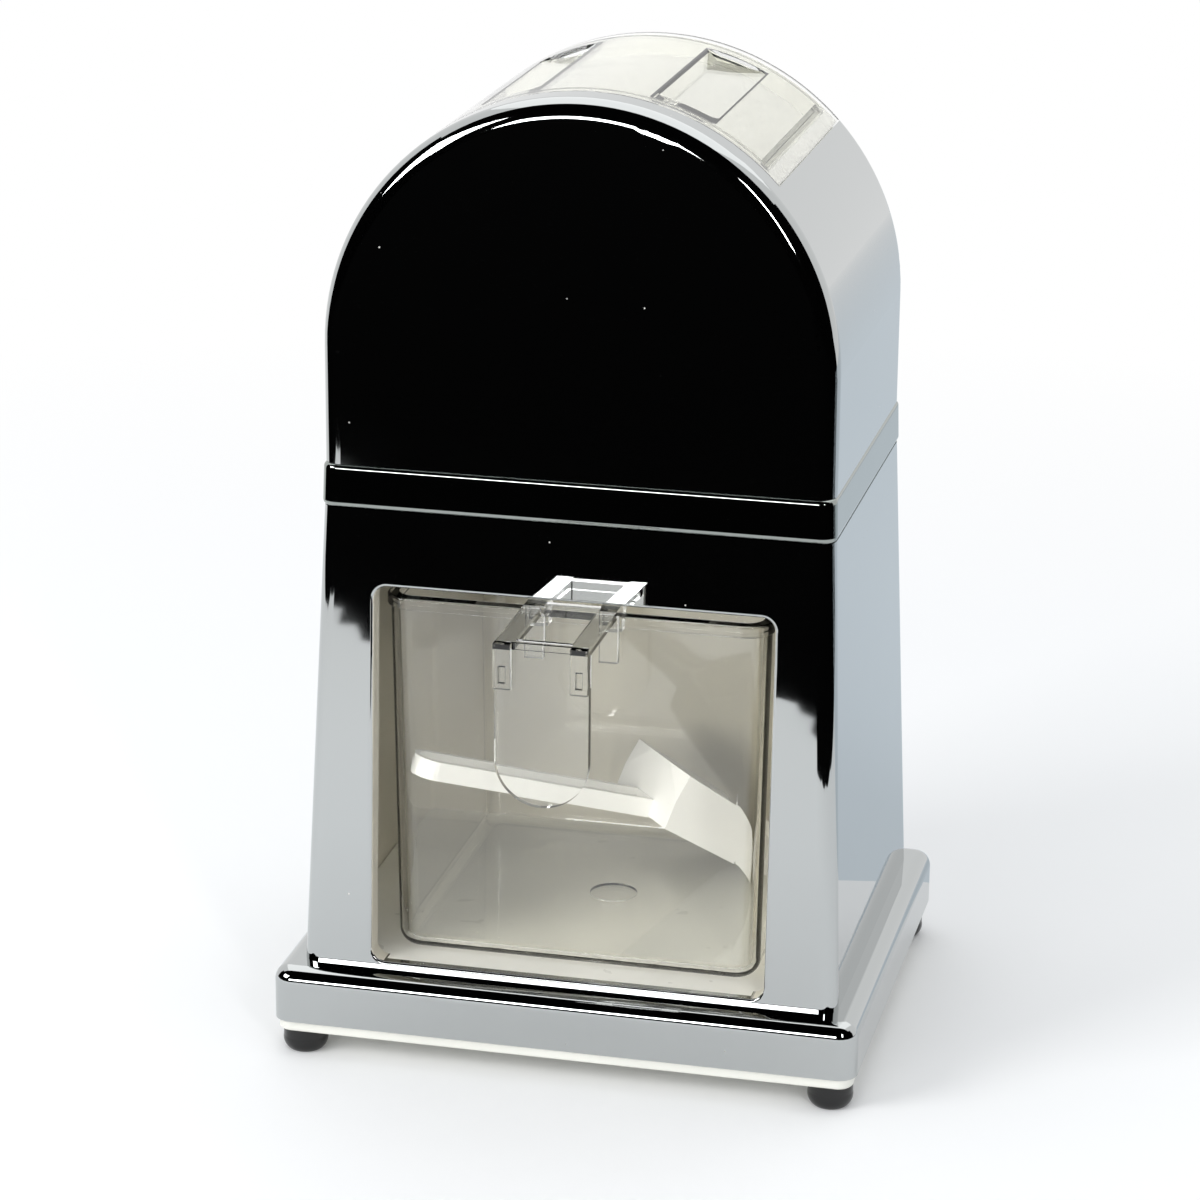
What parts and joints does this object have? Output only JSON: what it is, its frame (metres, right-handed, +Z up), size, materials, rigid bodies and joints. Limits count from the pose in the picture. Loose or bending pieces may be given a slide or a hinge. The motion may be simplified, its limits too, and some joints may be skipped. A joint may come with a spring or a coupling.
{
  "type": "hand crank ice crusher",
  "caption": "Plated arch-topped hand crank ice crusher with a clear lid, toothed rotor and combs inside, and a clear pull-out drawer with a loose scoop.",
  "frame": {"origin": "on the table under the middle of the whole footprint, drawer handle and crank knob included", "axes": "+Z up, -Y towards the drawer side, which is the front, +Y towards the crank, +X to the viewer's right from the front"},
  "size_m": [0.154, 0.1906, 0.2534],
  "materials": {
    "plated_shell": "bright chrome plating on moulded ABS",
    "ivory_plastic": "moulded ivory ABS",
    "white_plastic": "moulded white ABS",
    "scoop_plastic": "moulded white polypropylene",
    "foot_rubber": "moulded black rubber",
    "lid_clear": "clear moulded acrylic",
    "drawer_clear": "clear moulded polystyrene",
    "handle_clear": "clear moulded polystyrene",
    "blade_steel": "stamped stainless steel",
    "shaft_steel": "turned steel",
    "bearing_plastic": "moulded black acetal",
    "fastener_steel": "zinc plated steel",
    "crank_chrome": "polished chrome plate",
    "knob_plastic": "moulded black phenolic"
  },
  "bodies": {
    "housing": {"base_floor": "ivory_plastic", "base_plinth": "plated_shell", "bottom_cover": "ivory_plastic", "chute": "ivory_plastic", "coarse_comb": "blade_steel", "collar_ring": "plated_shell", "comb_screws": "fastener_steel", "deck_screws": "fastener_steel", "dome": "plated_shell", "fine_comb": "blade_steel", "foot_front_left": "foot_rubber", "foot_front_right": "foot_rubber", "foot_rear_left": "foot_rubber", "foot_rear_right": "foot_rubber", "foot_screws": "fastener_steel", "front_bearing": "bearing_plastic", "hopper": "white_plastic", "lower_housing": "plated_shell", "middle_bearing": "bearing_plastic", "rear_bearing": "bearing_plastic"},
    "crank": {"crank_arm": "crank_chrome", "crank_nut": "crank_chrome", "knob_pin": "fastener_steel", "retaining_clip": "fastener_steel", "rotor_blade_1": "blade_steel", "rotor_blade_2": "blade_steel", "rotor_blade_3": "blade_steel", "rotor_blade_4": "blade_steel", "rotor_blade_5": "blade_steel", "rotor_shaft": "shaft_steel", "rotor_spacer_1": "shaft_steel", "rotor_spacer_2": "shaft_steel", "rotor_spacer_3": "shaft_steel", "rotor_spacer_4": "shaft_steel", "rotor_spacer_5": "shaft_steel", "rotor_spacer_6": "shaft_steel", "thrust_washer": "bearing_plastic"},
    "knob": {"crank_knob": "knob_plastic", "knob_cap": "knob_plastic"},
    "lid": {"lid": "lid_clear"},
    "drawer": {"drawer": "drawer_clear", "drawer_handle": "handle_clear"},
    "scoop": {"scoop": "scoop_plastic"}
  },
  "joints": [
    {"name": "crank_turn", "type": "hinge", "parent": "housing", "child": "crank", "pos_m": [0, 0.04435, 0.17], "axis": [0, 1, 0], "continuous": true},
    {"name": "knob_spin", "type": "hinge", "parent": "crank", "child": "knob", "pos_m": [0, 0.04935, 0.098], "axis": [0, 1, 0], "continuous": true},
    {"name": "lid_lift", "type": "slide", "parent": "housing", "child": "lid", "axis": [0, 0, 1], "range_m": [0, 0.06]},
    {"name": "drawer_pull", "type": "slide", "parent": "housing", "child": "drawer", "axis": [0, -1, 0], "range_m": [0, 0.1]},
    {"name": "scoop_lift", "type": "slide", "parent": "drawer", "child": "scoop", "axis": [0, 0, 1], "range_m": [0, 0.02]}
  ]
}
